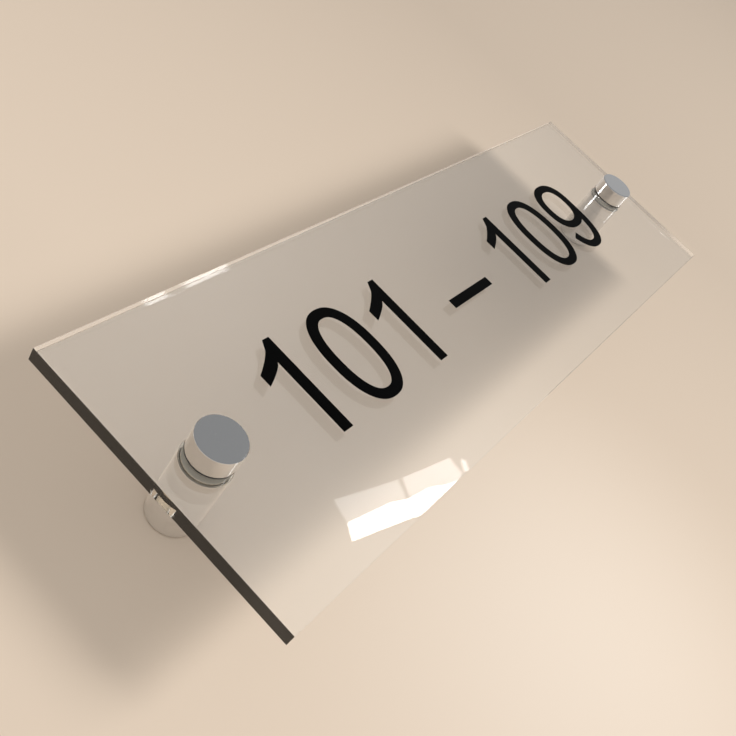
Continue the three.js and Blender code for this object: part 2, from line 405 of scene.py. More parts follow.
def mesh_piece(name, surface, body, slot, replaced=()):
    """Makes a piece of a surface's points and faces, at rest in the row frame. Points at one place become
    one, and a face that loses corners to that keeps the rest. Faces that meet at a low angle are shaded
    smooth. The piece rides on a body and stands for the replaced nodes."""
    points, quads = surface
    used, numbers = np.unique(quads, return_inverse=True)
    first, same = merged(points[used])
    quads = same[numbers].reshape(-1, 4)
    whole = (quads != np.roll(quads, -1, 1)).all(1)
    faces = quads[whole].tolist()
    faces += [list(dict.fromkeys(corners)) for corners in quads[~whole].tolist()]
    mesh = bpy.data.meshes.new(name)
    mesh.from_pydata(points[used][first], [], [corners for corners in faces if len(corners) > 2])
    mesh.shade_smooth()
    mesh.set_sharp_from_angle(angle=SHARP_ANGLE)
    piece = added(name, mesh)
    mesh.materials.append(finish(slot))
    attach(piece, body)
    if replaced:
        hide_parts(*replaced)


def panel_surface(bevel):
    """The panel. Its face is a ring of quads round each hole and a strip between the rings. A ring's
    inner points lie on the hole at angles t, and its outer points where the same rays leave a rectangle
    round the hole, min(half width / |cos t|, half height / |sin t|) from the axis."""
    low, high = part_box("panel")
    half_length, half_height = high.x, high.z
    inset = half_length - AXIS_PLACE
    corner = math.atan2(half_height, inset)
    angles = np.linspace(-np.pi, np.pi, ANGLES_ROUND, endpoint=False)
    angles = np.unique(np.concatenate([angles, [corner, -corner, np.pi - corner, corner - np.pi]]))
    rays = np.stack([np.cos(angles), np.sin(angles)], -1)
    reach = np.min(np.array([inset, half_height]) / np.maximum(np.abs(rays), 1e-9), axis=1)
    facing = np.abs(angles) <= corner
    strip = rays[facing] * reach[facing, None]
    strip[:, 0] = AXIS_PLACE - inset

    def flat(hole):
        ring = np.concatenate([rays * hole, rays * reach[:, None]])
        shift = [AXIS_PLACE, 0]
        return np.concatenate([ring - shift, ring + shift, strip * [-1, 1], strip])

    count = len(angles)
    ring = grid_quads(2, count)
    between = grid_quads(2, len(strip), around=False)
    quads = np.concatenate([ring, ring + 2 * count, between + 4 * count])
    wall = flat(PANEL_HOLE)
    limit = np.array([half_length, half_height]) - bevel
    face = np.clip(flat(PANEL_HOLE + bevel), -limit, limit)
    first, numbers = merged(wall)
    wall, face = wall[first], face[first]
    quads = facing_front(face, numbers[quads])
    levels = [(face, low.y), (wall, low.y + bevel), (wall, high.y - bevel), (face, high.y)]
    return raised(levels, quads)


def superellipse(centre, half, angles):
    """Points centre + half * sign(c) |c|^(2 / power), where c is the cosine and the sine of the angle."""
    c = np.stack([np.cos(angles), np.sin(angles)], -1)
    return np.array(centre) + np.array(half) * np.sign(c) * np.abs(c) ** (2 / CURVE_POWER)


def zero_strips():
    """A ring between two superellipses."""
    angles = np.linspace(0, 2 * np.pi, CURVE_STEPS + 1)
    centre = (ADVANCE / 2, 0.5)
    half = np.array([0.329, 0.5 + OVERSHOOT])
    return [(superellipse(centre, half, angles), superellipse(centre, half - [STEM, BAR], angles))]


def one_strips():
    """An upright stem with its top cut aslant, and a flag that falls away from it. From the stem to the
    flag's end, s from 0 to 1, the upper side drops by 0.18 s^0.75 and the lower side by 0.145 s^0.7."""
    left, right = 0.398, 0.398 + STEM
    flag_low, flag_high, slant = 0.775, 0.93, 0.043
    heights = np.array([0, flag_low, flag_high, 1])
    lefts = np.array([left, left, left, left + slant])
    stem = (np.stack([np.full(4, right), heights], -1), np.stack([lefts, heights], -1))
    s = np.linspace(0, 1, CURVE_STEPS // 6)
    x = left - 0.246 * s
    upper = np.stack([x, flag_high - 0.18 * s**0.75], -1)
    lower = np.stack([x, flag_low - 0.145 * s**0.7], -1)
    return [stem, (upper, lower)]


def nine_strips():
    """A round bowl, and a tail that leaves its right side, runs down the outline of a taller
    superellipse and curls back under. The tail's inner side starts where it meets the bowl."""
    x = 0.384
    bowl, bowl_half = (x, 0.67), np.array([0.325, 0.33 + OVERSHOOT])
    tail, tail_half = (x, 0.5), np.array([0.325, 0.5 + OVERSHOOT])
    join, bowl_join, end = math.radians(-13), math.radians(-50), math.radians(-151)
    first = np.linspace(0, bowl_join, CURVE_STEPS // 4)
    rest = np.linspace(bowl_join, -2 * np.pi, CURVE_STEPS)[1:]
    angles = np.concatenate([first, rest])
    outer = superellipse(bowl, bowl_half, angles)
    ring = (outer, superellipse(bowl, bowl_half - [STEM, BAR], angles))
    root_outer = superellipse(tail, tail_half, np.linspace(0, join, len(first)))
    root_outer[0] = outer[0]
    curl = np.linspace(join, end, CURVE_STEPS)
    curl_inner = superellipse(tail, tail_half - [STEM, BAR], curl)
    curl_inner[0] = outer[len(first) - 1]
    return [ring, (root_outer, outer[: len(first)]), (superellipse(tail, tail_half, curl), curl_inner)]


def dash_strips():
    """A plain bar."""
    ends, top = np.array([0.0, ADVANCE]), np.full(2, 0.43)
    return [(np.stack([ends, top], -1), np.stack([ends, top - BAR], -1))]


STRIPS = {"0": zero_strips, "1": one_strips, "9": nine_strips, "-": dash_strips}


def numerals_surface(height, baseline):
    """The numerals. Each is made of strips, every one the faces between two curves with as many points
    each, and the whole row is given the thickness of the film."""
    points, quads, count, pen = [], [], 0, 0.0
    for character in NUMERALS:
        gap = SPACE if character == "-" else 0
        pen += gap
        for sides in STRIPS[character]():
            points.append(np.concatenate(sides) + [pen, 0])
            quads.append(grid_quads(2, len(sides[0]), around=False) + count)
            count += 2 * len(sides[0])
        pen += ADVANCE + gap
    flat = np.concatenate(points)
    flat[:, 0] -= (flat[:, 0].min() + flat[:, 0].max()) / 2
    flat = flat * height + [0, baseline]
    first, numbers = merged(flat)
    flat = flat[first]
    quads = facing_front(flat, numbers[np.concatenate(quads)])
    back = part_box("panel")[0].y - FILM_GAP
    return raised([(flat, back - FILM_THICKNESS), (flat, back)], quads)


def cap_surface(cap):
    """A cap: a turned button with a blind bore behind."""
    axis, radius, foot, front = turned_span(cap)
    bottom = turned_span(cap.replace("cap", "stud"))[3]
    return turned(axis, [
        [0, front],
        [radius - CAP_CHAMFER, front],
        [radius, front - CAP_CHAMFER],
        [radius, foot + CAP_FOOT_CHAMFER],
        [radius - CAP_FOOT_CHAMFER, foot],
        [THREADED_BORE, foot],
        [THREADED_BORE, bottom],
        [0, bottom],
    ])


def barrel_surface(barrel):
    """A barrel: a turned tube, with a countersunk seat in its floor and a relieved base."""
    axis, radius, _, front = turned_span(barrel)
    seat_top = SEAT_BOTTOM + SEAT_RIM - SEAT_HOLE
    floor = seat_top + SCREW_HEAD_LAND
    return turned(axis, [
        [THREADED_BORE, front],
        [radius - BARREL_CHAMFER, front],
        [radius, front - BARREL_CHAMFER],
        [radius, BARREL_CHAMFER],
        [radius - BARREL_CHAMFER, 0],
        [BARREL_RELIEF, 0],
        [BARREL_RELIEF, BARREL_RELIEF_DEPTH],
        [SEAT_HOLE, BARREL_RELIEF_DEPTH],
        [SEAT_HOLE, SEAT_BOTTOM],
        [SEAT_RIM, seat_top],
        [SEAT_RIM, floor],
        [THREADED_BORE, floor],
    ], closed=True)


def ring_surface(ring, bore, bulge=0.0):
    """A washer or a sleeve: a turned ring of the node's outer size, swollen by bulge where it is soft and
    clamped. It is a hair shorter in front, so that it doesn't cut into what it touches."""
    axis, radius, wall_end, front_end = turned_span(ring)
    front_end -= RING_GAP
    radius += bulge
    corners = [[bore, front_end], [radius, front_end], [radius, wall_end], [bore, wall_end]]
    return turned(axis, corners, closed=True)


def thread_wave(turns, flat_root, flat_crest):
    """The height of a thread, from 0 at its root to 1 at its crest, where turns counts the pitches. It
    is a triangle wave cut off below flat_root and above 1 - flat_crest."""
    ramp = 1 - np.abs(2 * (turns % 1) - 1)
    return np.clip((ramp - flat_root) / (1 - flat_root - flat_crest), 0, 1)


def stud_surface(stud, pitch):
    """A stud. Its radius is root + (crest - root) wave(out / pitch - t / 2 pi), kept inside a cone at each
    end, and its wall end has a hexagon socket, whose radius at angle t is half the flats over the cosine
    of t's distance from the nearest flat's middle."""
    axis, crest, wall_end, front_end = turned_span(stud)
    t = ROUND
    rows = int((front_end - wall_end) / pitch * THREAD_ROWS)
    out = np.linspace(front_end, wall_end, rows)[:, None]
    radius = STUD_ROOT + (crest - STUD_ROOT) * thread_wave(out / pitch - t / (2 * np.pi), *STUD_FLATS)
    cone = crest - STUD_CHAMFER + np.minimum(front_end - out, out - wall_end)
    radius = np.minimum(radius, cone)
    flats = STUD_DRIVE / 2 / np.cos((t + np.pi / 6) % (np.pi / 3) - np.pi / 6)
    radius = np.concatenate([0 * t[None], radius, [flats], [flats], 0 * t[None]])
    deep = wall_end + STUD_DRIVE
    out = np.concatenate([[[front_end]], out, [[wall_end], [deep], [deep]]])
    return wrapped(axis, radius, out)


def cross_recess(x, z):
    """How deep the cross recess is at a place on the screw's head, from 0 to 1: the larger of two arms,
    each full within half its width and its reach, and easing off just outside them."""
    def arm(along, across):
        side = np.clip((RECESS_WIDTH / 2 - np.abs(across)) / RECESS_EDGE + 0.5, 0, 1)
        tip = np.clip((RECESS_REACH - np.abs(along)) / RECESS_SLOPE, 0, 1)
        return side * tip

    return np.maximum(arm(x, z), arm(z, x))


def screw_surface(screw, pitch):
    """A wood screw. The top of its head is sunk by the cross recess. Below the head come the cone and the
    shank, and then a sharp thread, whose height and core shrink to nothing over the point."""
    axis, head, tip, top = turned_span(screw)
    t = ROUND
    cone_end = top - SCREW_HEAD_LAND - (head - SCREW_SHANK)
    neck = cone_end - SCREW_SHANK_LENGTH
    disc = np.linspace(0, SCREW_TOP_SHARE, SCREW_TOP_ROWS)[:, None] * head
    sunk = top - RECESS_DEPTH * cross_recess(disc * np.cos(t), disc * np.sin(t))
    land = top - SCREW_HEAD_LAND
    body = eased([[0, top], [head, top], [head, land], [SCREW_SHANK, cone_end], [SCREW_SHANK, neck]])[1:-1]
    rows = int((neck - tip) / pitch * THREAD_ROWS)
    out = np.linspace(neck, tip, rows)[:, None]
    rise = np.clip((neck - out) / SCREW_THREAD_RUN, 0, 1)
    fall = np.clip((out - tip) / SCREW_POINT, 0, 1)
    wave = thread_wave(out / pitch - t / (2 * np.pi), *SCREW_FLATS)
    core = (SCREW_SHANK + (SCREW_CORE - SCREW_SHANK) * rise) * fall
    thread = core + (SCREW_SHANK - SCREW_CORE) * wave * rise * fall
    thread[-1] = 0
    flat = np.ones_like(t)
    radius = np.concatenate([disc * flat, body[:, :1] * flat, thread])
    out = np.concatenate([sunk, body[:, 1:] * flat, out * flat])
    return wrapped(axis, radius, out)


def split_shell(axis, outer, inner, out, outer_angles, inner_angles, kept):
    """A tube with openings. outer and inner are grids of radii by rows and angles, and kept says which
    cells between neighbouring rows and angles are there. A kept cell has an outer and an inner face, and
    a wall of one face joins the two skins wherever a kept cell ends."""
    skins = [wrapped(axis, outer, out, angles=outer_angles), wrapped(axis, inner, out, angles=inner_angles)]
    count = len(skins[0][0])
    rows, columns = outer.shape
    number = np.arange(count).reshape(rows, columns)
    right = np.roll(number, -1, 1)
    cells = kept.ravel()
    outside = skins[0][1][cells]
    inside = skins[1][1][cells][:, ::-1] + count
    above = np.vstack([kept, np.zeros(columns, bool)])
    below = np.vstack([np.zeros(columns, bool), kept])
    starts, ends = above & ~below, below & ~above
    left_of, right_of = np.roll(kept, 1, 1), kept
    first, last = right_of & ~left_of, left_of & ~right_of

    def wall(a, b):
        return np.stack([a, b, b + count, a + count], -1)

    walls = [
        wall(number[starts], right[starts]),
        wall(right[ends], number[ends]),
        wall(number[1:][first], number[:-1][first]),
        wall(number[:-1][last], number[1:][last]),
    ]
    points = np.concatenate([skins[0][0], skins[1][0]])
    return points, np.concatenate([outside, inside, *walls])


def plug_surface(plug):
    """A wall plug. Going down from its mouth, the outer radius is plain, then falls sharply and rises
    slowly at each rib, and tapers at the tip. Two fins stand out along X over the first ribs, and slots
    that run up from the tip part four legs, whose edges are parallel: half a slot over the radius is the
    sine of the angle that it takes."""
    axis, _, tip, mouth = turned_span(plug)
    ribs_start, ribs_end = mouth - PLUG_MOUTH, tip + PLUG_TIP
    pitch = (ribs_start - ribs_end) / PLUG_RIBS
    crests = ribs_start - pitch * np.arange(PLUG_RIBS)
    valleys = crests - PLUG_RIB_FALL * pitch
    eased_mouth, eased_tip = mouth - PLUG_EASE, tip + PLUG_EASE
    fin_ends = ribs_start - np.array([-PLUG_STEP, 0, PLUG_FIN_LENGTH, PLUG_FIN_LENGTH + PLUG_STEP])
    places = np.concatenate([
        [mouth, eased_mouth, ribs_end, eased_tip, tip, tip + PLUG_SLOT_LENGTH],
        crests,
        valleys,
        fin_ends,
        np.linspace(eased_mouth, eased_tip, PLUG_ROWS),
    ])
    out = np.unique(places)[::-1]
    known = np.concatenate([[mouth, eased_mouth], crests, valleys, [ribs_end, tip]])
    radii = np.concatenate([
        [PLUG_RADIUS - PLUG_EASE, PLUG_RADIUS],
        np.full(PLUG_RIBS, PLUG_RADIUS),
        np.full(PLUG_RIBS, PLUG_RADIUS - PLUG_RIB_HEIGHT),
        [PLUG_RADIUS, PLUG_RADIUS - PLUG_TIP_TAPER],
    ])
    order = np.argsort(known)
    plain = np.interp(out, known[order], radii[order])

    fin_top = PLUG_RADIUS + PLUG_FIN_HEIGHT
    crown, foot = (math.asin(PLUG_FIN_WIDTH / 2 / radius) for radius in (fin_top, PLUG_RADIUS))

    def legs(radius):
        edge = np.pi / 4 - math.asin(PLUG_SLOT_WIDTH / 2 / radius)
        leg = np.concatenate([
            np.linspace(-edge, -foot, PLUG_LEG_POINTS),
            np.linspace(-crown, crown, PLUG_FIN_POINTS),
            np.linspace(foot, edge, PLUG_LEG_POINTS),
        ])
        return (leg + np.arange(4)[:, None] * np.pi / 2).ravel()

    outer_angles = legs(PLUG_RADIUS)
    leg_points = len(outer_angles) // 4
    column = np.arange(len(outer_angles)) % leg_points
    leg = np.arange(len(outer_angles)) // leg_points
    on_fin = (np.abs(column - leg_points // 2) <= PLUG_FIN_POINTS // 2) & (leg % 2 == 0)
    beside_fin = (out[:, None] <= fin_ends[1]) & (out[:, None] >= fin_ends[2])
    outer = np.where(on_fin & beside_fin, fin_top, plain[:, None])
    inner = np.full_like(outer, PLUG_BORE)
    slot = (column == leg_points - 1) & (out[1:, None] < tip + PLUG_SLOT_LENGTH - WELD)
    return split_shell(axis, outer, inner, out[:, None], outer_angles, legs(PLUG_BORE), ~slot)


def node(tree, kind, inputs=None, **settings):
    """Adds a node to a tree. settings are its own properties, and each input, by name or number, takes a
    plain value or the output that feeds it."""
    made = tree.nodes.new(kind)
    row, column = divmod(len(tree.nodes), NODES_IN_A_ROW)
    made.location = (NODES_APART * column, -NODES_APART * row)
    for name, value in settings.items():
        setattr(made, name, value)
    for name, value in (inputs or {}).items():
        if isinstance(value, bpy.types.NodeSocket):
            tree.links.new(value, made.inputs[name])
        else:
            made.inputs[name].default_value = value
    return made


def maths(tree, operation, *values):
    """The result of a Math node."""
    return node(tree, "ShaderNodeMath", dict(enumerate(values)), operation=operation).outputs[0]


def spread(tree, value, low, high, to_low=0.0, to_high=1.0, smooth=False):
    """value moved from the range low to high into the range to_low to to_high, and kept inside it."""
    inputs = {"Value": value, "From Min": low, "From Max": high, "To Min": to_low, "To Max": to_high}
    kind = "SMOOTHSTEP" if smooth else "LINEAR"
    return node(tree, "ShaderNodeMapRange", inputs, interpolation_type=kind).outputs["Result"]


def blended(tree, share, first, second):
    """A colour from first to second as share goes from 0 to 1."""
    return node(tree, "ShaderNodeMix", {0: share, 6: first, 7: second}, data_type="RGBA").outputs[2]


def mixed(tree, share, first, second):
    """A shader from first to second as share goes from 0 to 1."""
    return node(tree, "ShaderNodeMixShader", {0: share, 1: first, 2: second}).outputs[0]


def see_through(tree, tint=(1.0, 1.0, 1.0, 1.0)):
    """A shader that lets light straight through, tinted."""
    return node(tree, "ShaderNodeBsdfTransparent", {"Color": tint}).outputs[0]


def parts(tree, kind):
    """The X, Y and Z of a Texture Coordinate output, by name."""
    vector = node(tree, "ShaderNodeTexCoord").outputs[kind]
    return node(tree, "ShaderNodeSeparateXYZ", {0: vector}).outputs


def diagonal(tree, across, up):
    """The square root of across^2 + up^2."""
    squares = [maths(tree, "POWER", side, 2.0) for side in (across, up)]
    return maths(tree, "SQRT", maths(tree, "ADD", *squares))


def noise(tree, detail, **inputs):
    """The value of a noise, along W where it is given, or else through Vector at Scale."""
    kind = "1D" if "W" in inputs else "3D"
    return node(tree, "ShaderNodeTexNoise", inputs | {"Detail": detail}, noise_dimensions=kind).outputs[0]


def colour(values, scale=1.0):
    """A colour with full alpha, made lighter or darker by scale."""
    return (*(min(1.0, value * scale) for value in values), 1.0)


def effect(name, inputs, outputs):
    """A shader node group with number inputs, {name: default}, and number outputs. Returns the group, its
    inputs by name, and a function that links a value to a named output."""
    group = bpy.data.node_groups.new(name, "ShaderNodeTree")
    for title, default in inputs.items():
        socket = group.interface.new_socket(title, in_out="INPUT", socket_type="NodeSocketFloat")
        socket.default_value = default
    for title in outputs:
        group.interface.new_socket(title, in_out="OUTPUT", socket_type="NodeSocketFloat")
    end = node(group, "NodeGroupOutput")

    def put_out(title, value):
        group.links.new(value, end.inputs[title])

    return group, node(group, "NodeGroupInput").outputs, put_out


def placed(tree, name, **values):
    """An effect placed in a material with its own values. The effect is built on first use."""
    group = bpy.data.node_groups.get(name) or EFFECTS[name](name)
    inputs = {title.replace("_", " "): value for title, value in values.items()}
    return node(tree, "ShaderNodeGroup", inputs, node_tree=group)


def turning_marks(name):
    """Fine marks left by the lathe: rings round the axis on faces square to it, and bands along it
    elsewhere. Height is uneven from mark to mark, and Haze is a slow change that dulls some of them."""
    inputs = {"Axis Place": 0.0, "Marks per Metre": 8000.0}
    group, given, put_out = effect(name, inputs, ["Height", "Haze", "End Face"])
    place = parts(group, "Object")
    sideways = maths(group, "SUBTRACT", maths(group, "ABSOLUTE", place["X"]), given["Axis Place"])
    radius = diagonal(group, sideways, place["Z"])
    end_face = spread(group, maths(group, "ABSOLUTE", parts(group, "Normal")["Y"]), 0.6, 0.9)
    along = maths(group, "MULTIPLY", place["Y"], maths(group, "SUBTRACT", 1.0, end_face))
    across = maths(group, "MULTIPLY", radius, end_face)
    line = maths(group, "MULTIPLY", maths(group, "ADD", along, across), given["Marks per Metre"])
    slow = maths(group, "MULTIPLY", line, 0.13)
    put_out("Height", noise(group, 3.0, W=line))
    put_out("Haze", spread(group, noise(group, 1.0, W=slow), 0.35, 0.7))
    put_out("End Face", spread(group, end_face, 0.0, 0.3))
    return group


def handling(name):
    """What handling leaves: soft smears, and specks of dust where a fine noise passes a high mark."""
    group, given, put_out = effect(name, {"Smear Scale": 60.0, "Dust Scale": 2500.0}, ["Smear", "Dust"])
    space = node(group, "ShaderNodeTexCoord").outputs["Object"]
    smear = noise(group, 4.0, Vector=space, Scale=given["Smear Scale"], Distortion=0.6)
    dust = noise(group, 1.0, Vector=space, Scale=given["Dust Scale"])
    put_out("Smear", spread(group, smear, 0.42, 0.72, smooth=True))
    put_out("Dust", spread(group, dust, 0.70, 0.76))
    return group


def grain(name):
    """A fine uneven skin, such as moulded nylon, rubber or film has: a coarse and a fine noise for its
    Height, and a slow one for its Tone."""
    group, given, put_out = effect(name, {"Scale": 3000.0}, ["Height", "Tone"])
    space = node(group, "ShaderNodeTexCoord").outputs["Object"]
    slow = noise(group, 2.0, Vector=space, Scale=maths(group, "MULTIPLY", given["Scale"], 0.08))
    put_out("Height", noise(group, 3.0, Vector=space, Scale=given["Scale"]))
    put_out("Tone", spread(group, slow, 0.3, 0.7))
    return group


def edge_polish(name):
    """The faint lines that polishing leaves across a sheet's cut edges, and none on its faces."""
    group, given, put_out = effect(name, {"Lines per Metre": 2500.0}, ["Height"])
    place = parts(group, "Object")
    edge = spread(group, maths(group, "ABSOLUTE", parts(group, "Normal")["Y"]), 0.9, 0.5)
    run = maths(group, "ADD", place["X"], place["Z"])
    line = maths(group, "MULTIPLY", run, given["Lines per Metre"])
    put_out("Height", maths(group, "MULTIPLY", noise(group, 2.0, W=line), edge))
    return group


EFFECTS = {
    "Turning marks": turning_marks,
    "Handling": handling,
    "Grain": grain,
    "Edge polish": edge_polish,
}


def bumped(tree, height, strength, distance=0.02 * MM):
    """A normal that follows a height."""
    inputs = {"Height": height, "Strength": strength, "Distance": distance}
    return node(tree, "ShaderNodeBump", inputs).outputs["Normal"]


def surface_of(tree, shader, inside=None):
    """Puts a shader on the material's surface, and one in its inside if given."""
    node(tree, "ShaderNodeOutputMaterial", {"Surface": shader} | ({"Volume": inside} if inside else {}))


def principled(tree, inputs):
    """A Principled shader."""
    return node(tree, "ShaderNodeBsdfPrincipled", inputs).outputs[0]


def let_light_through(tree, glass, finishes):
    """Glass that lamps and soft light pass straight through, each dimmed to its share, so that what is
    behind it is lit without caustics. Every other ray meets the glass itself."""
    rays = node(tree, "ShaderNodeLightPath")
    for kind, share in (("Is Shadow Ray", finishes.lamp_pass), ("Is Diffuse Ray", finishes.soft_pass)):
        glass = mixed(tree, rays.outputs[kind], glass, see_through(tree, colour(share)))
    return glass


def clear_acrylic(tree, finishes):
    """Clear cast sheet with polished faces and edges."""
    lines = placed(tree, "Edge polish", Lines_per_Metre=1800.0)
    marks = placed(tree, "Handling", Smear_Scale=14.0, Dust_Scale=900.0)
    tint = finishes.acrylic
    glass = principled(tree, {
        "Base Color": blended(tree, marks.outputs["Dust"], colour(tint), colour(tint, 0.97)),
        "Roughness": 0.0,
        "IOR": 1.49,
        "Transmission Weight": 1.0,
        "Normal": bumped(tree, lines.outputs["Height"], 0.04),
    })
    deep = node(tree, "ShaderNodeVolumeAbsorption", {
        "Color": colour(finishes.acrylic_deep),
        "Density": finishes.acrylic_density,
    })
    surface_of(tree, let_light_through(tree, glass, finishes), deep.outputs[0])


def polished_chrome(tree, finishes):
    """Mirror polish over fine turning marks, a little dulled by handling. The faced ends are less sharp,
    and their darker colour is painted reflection: it stands in for the dim room that the caps' ends mirror,
    and on the barrels it is lighter and warmer, standing in for the wall round them."""
    marks = placed(tree, "Turning marks", Axis_Place=AXIS_PLACE, Marks_per_Metre=9000.0)
    hands = placed(tree, "Handling", Smear_Scale=170.0, Dust_Scale=3800.0)
    rough = 0.035
    for source, name, share in (
        (marks, "Haze", 0.025), (hands, "Smear", 0.03), (hands, "Dust", 0.12), (marks, "End Face", 0.12)
    ):
        rough = maths(tree, "ADD", rough, maths(tree, "MULTIPLY", source.outputs[name], share))
    chrome = finishes.chrome
    side = blended(tree, hands.outputs["Smear"], colour(chrome, 1.02), colour(chrome, 0.97))
    # Painted reflection on the end faces and chamfers: the caps' ends get the dark colour, the barrels'
    # ends, nearer the wall than FACES_PARTED, the warm one
    behind = maths(tree, "GREATER_THAN", parts(tree, "Object")["Y"], -FACES_PARTED)
    faced = blended(tree, behind, colour(finishes.faced), colour(finishes.barrel_end_painted_reflection))
    surface_of(tree, principled(tree, {
        "Base Color": blended(tree, marks.outputs["End Face"], side, faced),
        "Metallic": 1.0,
        "Roughness": rough,
        "Normal": bumped(tree, marks.outputs["Height"], 0.03, 0.01 * MM),
    }))


def zinc_plated_steel(tree, finishes):
    """Bright zinc plate: satin, with a cloudy bloom that is bluer in places."""
    marks = placed(tree, "Turning marks", Axis_Place=AXIS_PLACE, Marks_per_Metre=5000.0)
    bloom = placed(tree, "Grain", Scale=2600.0)
    hands = placed(tree, "Handling", Smear_Scale=260.0, Dust_Scale=4200.0)
    base = colour(finishes.zinc)
    blue = (base[0] * 0.88, base[1] * 0.96, min(1.0, base[2] * 1.08), 1.0)
    rough = spread(tree, bloom.outputs["Height"], 0.3, 0.7, 0.22, 0.36)
    surface_of(tree, principled(tree, {
        "Base Color": blended(tree, bloom.outputs["Tone"], base, blue),
        "Metallic": 1.0,
        "Roughness": maths(tree, "ADD", rough, maths(tree, "MULTIPLY", hands.outputs["Smear"], 0.08)),
        "Normal": bumped(tree, marks.outputs["Height"], 0.12),
    }))


def black_rubber(tree, finishes):
    """Matt black rubber with a fine skin and a little dust."""
    skin = placed(tree, "Grain", Scale=4200.0)
    hands = placed(tree, "Handling", Smear_Scale=300.0, Dust_Scale=5200.0)
    base = blended(tree, skin.outputs["Tone"], colour(finishes.rubber, 0.8), colour(finishes.rubber, 1.3))
    dusty = blended(tree, hands.outputs["Dust"], base, (0.16, 0.155, 0.15, 1.0))
    surface_of(tree, principled(tree, {
        "Base Color": dusty,
        "Roughness": spread(tree, skin.outputs["Height"], 0.3, 0.7, 0.55, 0.72),
        "Normal": bumped(tree, skin.outputs["Height"], 0.3),
    }))


def clear_nylon(tree, finishes):
    """Nylon that is clear and milky, so that it shows pale by the light inside it."""
    skin = placed(tree, "Grain", Scale=1500.0)
    tint = finishes.clear_nylon
    glass = principled(tree, {
        "Base Color": blended(tree, skin.outputs["Tone"], colour(tint), colour(tint, 0.95)),
        "Roughness": 0.3,
        "IOR": 1.53,
        "Transmission Weight": 0.3,
        "Normal": bumped(tree, skin.outputs["Height"], 0.05),
    })
    surface_of(tree, let_light_through(tree, glass, finishes))


def grey_nylon(tree, finishes):
    """Moulded grey nylon: satin, with a spark-eroded skin and a faint mottle."""
    skin = placed(tree, "Grain", Scale=3400.0)
    hands = placed(tree, "Handling", Smear_Scale=240.0, Dust_Scale=5200.0)
    grey = finishes.grey_nylon
    tone = blended(tree, skin.outputs["Tone"], colour(grey, 0.92), colour(grey, 1.08))
    surface_of(tree, principled(tree, {
        "Base Color": blended(tree, hands.outputs["Dust"], tone, colour(grey, 1.7)),
        "Roughness": spread(tree, skin.outputs["Height"], 0.3, 0.7, 0.38, 0.54),
        "Subsurface Weight": 0.08,
        "Subsurface Scale": 0.4 * MM,
        "Normal": bumped(tree, skin.outputs["Height"], 0.35),
    }))


def black_vinyl(tree, finishes):
    """Cut film: satin black with the faint orange peel of calendered vinyl."""
    skin = placed(tree, "Grain", Scale=1600.0)
    hands = placed(tree, "Handling", Smear_Scale=45.0, Dust_Scale=2600.0)
    base = blended(tree, skin.outputs["Tone"], colour(finishes.vinyl, 0.9), colour(finishes.vinyl, 1.15))
    surface_of(tree, principled(tree, {
        "Base Color": blended(tree, hands.outputs["Dust"], base, (0.01, 0.01, 0.01, 1.0)),
        "Roughness": spread(tree, hands.outputs["Smear"], 0.0, 1.0, 0.5, 0.58),
        "Specular IOR Level": 0.01,
        "Normal": bumped(tree, skin.outputs["Height"], 0.08),
    }))


FINISHES = {
    "clear_acrylic": clear_acrylic,
    "polished_chrome": polished_chrome,
    "zinc_plated_steel": zinc_plated_steel,
    "black_rubber": black_rubber,
    "clear_nylon": clear_nylon,
    "grey_nylon": grey_nylon,
    "black_vinyl": black_vinyl,
}


def material(name, build, settings):
    """A material whose nodes build draws from the settings."""
    made = bpy.data.materials.new(name)
    made.use_nodes = True
    made.node_tree.nodes.clear()
    build(made.node_tree, settings)
    return made


def finish(slot):
    """The material of a slot, made on first use."""
    name = f"{slot}_finish"
    found = bpy.data.materials.get(name)
    return found or material(name, FINISHES[slot], bpy.context.scene.plate_finishes)


def wall_paint(tree, stage):
    """Matt paint, seen from the front only, so that views from behind show the plate's back. A soft round
    pool of light is painted in below the plate, and painted shade makes the wall a little darker to the
    right."""
    place = parts(tree, "Object")
    away = [maths(tree, "SUBTRACT", place[axis], middle) for axis, middle in zip("XZ", PAINTED_POOL_PLACE)]
    # painted pool of light, palest in its middle
    pool = spread(tree, diagonal(tree, *away), PAINTED_POOL_RADIUS, 0.0, smooth=True)
    places, lights = WALL_PAINTED_SHADES
    shades = [colour(stage.wall, light) for light in lights]
    # painted shade, a little darker to the right
    plain = blended(tree, spread(tree, place["X"], *places), *shades)
    tone = blended(tree, pool, plain, colour(stage.wall_painted_pool))
    paint = principled(tree, {"Base Color": tone, "Roughness": 0.7, "Specular IOR Level": 0.15})
    behind = node(tree, "ShaderNodeNewGeometry").outputs["Backfacing"]
    surface_of(tree, mixed(tree, behind, paint, see_through(tree)))


def window_light(tree, stage):
    """A bright window that only mirrored rays meet. Each pane has its own share of the strength, and its
    own least number of mirrorings."""
    share, least = (
        node(tree, "ShaderNodeAttribute", attribute_name=name).outputs["Fac"] for name in PANE_VALUES
    )
    strength = maths(tree, "MULTIPLY", share, stage.window_strength)
    glow = node(tree, "ShaderNodeEmission", {"Strength": strength}).outputs[0]
    depth = maths(tree, "ADD", node(tree, "ShaderNodeLightPath").outputs["Glossy Depth"], 0.5)
    surface_of(tree, mixed(tree, maths(tree, "GREATER_THAN", depth, least), see_through(tree), glow))


def stage_piece(name, points, build, stage):
    """A piece of the stage, made of flat faces with four corners each."""
    mesh = bpy.data.meshes.new(name)
    mesh.from_pydata(points, [], np.arange(len(points)).reshape(-1, 4).tolist())
    mesh.materials.append(material(name, build, stage))
    piece = added(name, mesh)
    return piece


def make_wall(stage):
    """The wall's surface, facing the front."""
    corners = np.array([(-1, 0, -1), (1, 0, -1), (1, 0, 1), (-1, 0, 1)])
    stage_piece("stage_wall", corners * WALL_REACH, wall_paint, stage)


